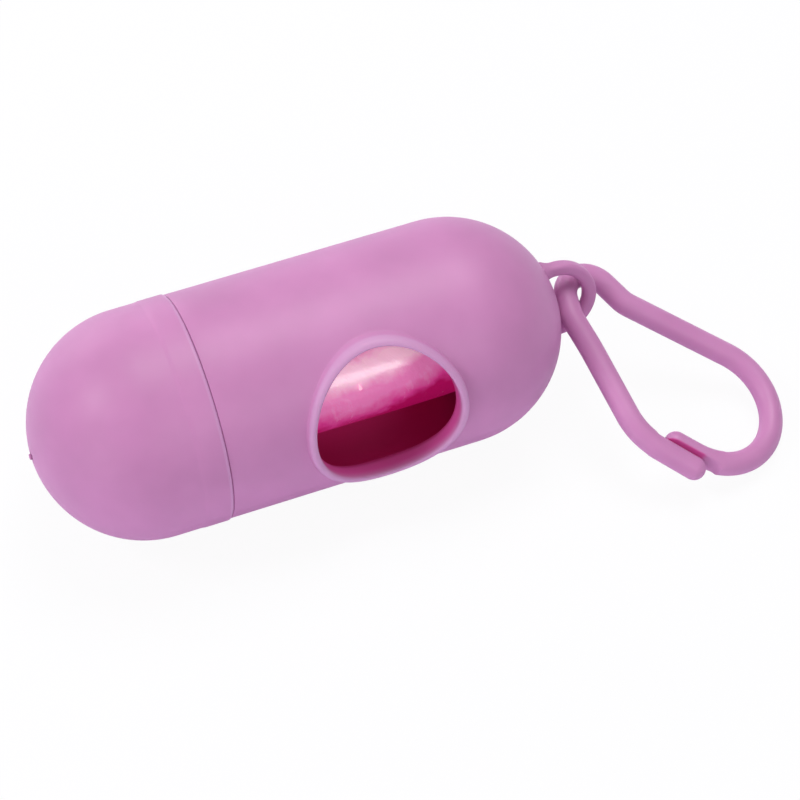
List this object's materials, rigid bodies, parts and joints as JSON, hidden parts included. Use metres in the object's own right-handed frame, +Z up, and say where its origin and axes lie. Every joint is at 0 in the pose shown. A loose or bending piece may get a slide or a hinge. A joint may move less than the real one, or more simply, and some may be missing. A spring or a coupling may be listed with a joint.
{
  "type": "pet waste bag dispenser",
  "caption": "Capsule-shaped dispenser for a roll of pet waste bags, with a pull-off domed end cap, a round dispensing window and a moulded leash clip on an eyelet.",
  "frame": {"origin": "on the surface that the capsule lies on, under the middle of the part's box", "axes": "+X along the capsule from the cap towards the clip, +Y to the back, away from the window, +Z up"},
  "size_m": [0.1247, 0.0533, 0.0384],
  "materials": {
    "shell_plastic": "satin moulded polypropylene, orchid pink",
    "cap_plastic": "satin moulded polypropylene, orchid pink",
    "clip_plastic": "satin moulded flexible plastic, orchid pink",
    "core_board": "plain wound grey-brown board",
    "bag_film": "thin glossy pink film, folded and wound, with small creases"
  },
  "bodies": {
    "shell": {"body_shell": "shell_plastic"},
    "cap": {"end_cap": "cap_plastic"},
    "clip": {"clip_frame": "clip_plastic"},
    "gate": {"clip_gate": "clip_plastic"},
    "roll": {"roll_core": "core_board", "bag_roll": "bag_film"}
  },
  "joints": [
    {"name": "cap_pull", "type": "slide", "parent": "shell", "child": "cap", "axis": [-1, 0, 0], "range_m": [0, 0.06]},
    {"name": "clip_swing", "type": "hinge", "parent": "shell", "child": "clip", "pos_m": [0.03151, 0.00724, 0.0186], "axis": [0, -0.9511, 0.309], "range_deg": [0, 50]},
    {"name": "gate_flex", "type": "hinge", "parent": "clip", "child": "gate", "pos_m": [0.03124, 0.00317, 0.01756], "axis": [-0.312, 0.2544, -0.9154], "range_deg": [0, 14]},
    {"name": "roll_spin", "type": "hinge", "parent": "shell", "child": "roll", "pos_m": [-0.01642, 0.01064, 0.01296], "axis": [1, 0, 0], "continuous": true}
  ]
}
